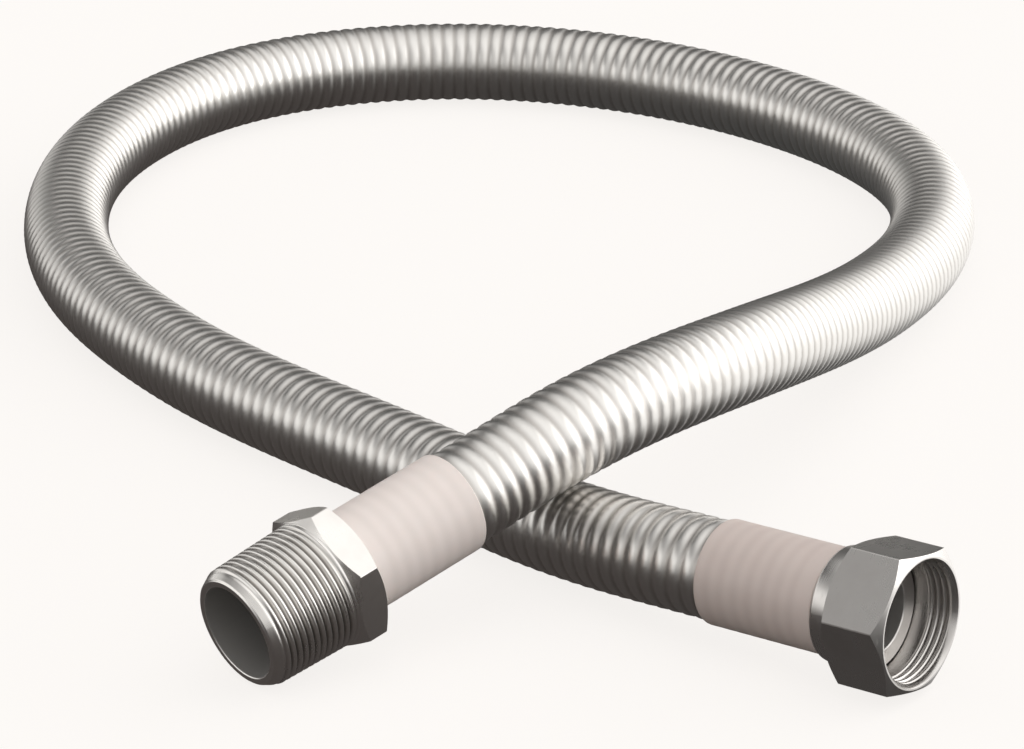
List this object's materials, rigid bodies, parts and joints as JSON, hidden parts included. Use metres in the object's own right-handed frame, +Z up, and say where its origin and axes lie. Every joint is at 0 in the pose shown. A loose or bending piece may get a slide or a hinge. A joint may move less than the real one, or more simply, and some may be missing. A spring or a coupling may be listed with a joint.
{
  "type": "corrugated flexible hose with a pipe thread nipple and a union nut",
  "caption": "Corrugated stainless flexible hose laid in a loop, with a taper thread hexagon nipple at one end and a turning union nut at the other.",
  "frame": {"origin": "middle of the footprint, on the surface that the hose lies on", "axes": "+Z up from the surface; +X is the heading of the union nut's mouth; the nipple's mouth points mostly along -Y"},
  "size_m": [0.3525, 0.3525, 0.0439],
  "materials": {
    "corrugated_hose": "bright rolled stainless steel",
    "male_nipple": "machined stainless steel",
    "tail_piece": "machined stainless steel",
    "union_nut": "machined stainless steel",
    "male_sleeve": "thin translucent shrink tube",
    "female_sleeve": "thin translucent shrink tube"
  },
  "bodies": {
    "hose": {"corrugated_hose": "corrugated_hose", "male_nipple": "male_nipple", "male_sleeve": "male_sleeve", "female_sleeve": "female_sleeve", "tail_piece": "tail_piece"},
    "nut": {"union_nut": "union_nut"}
  },
  "joints": [
    {"name": "nut_swivel", "type": "hinge", "parent": "hose", "child": "nut", "pos_m": [0.1757, -0.0932, 0.0159], "axis": [0.999, 0, 0.0436], "continuous": true}
  ]
}
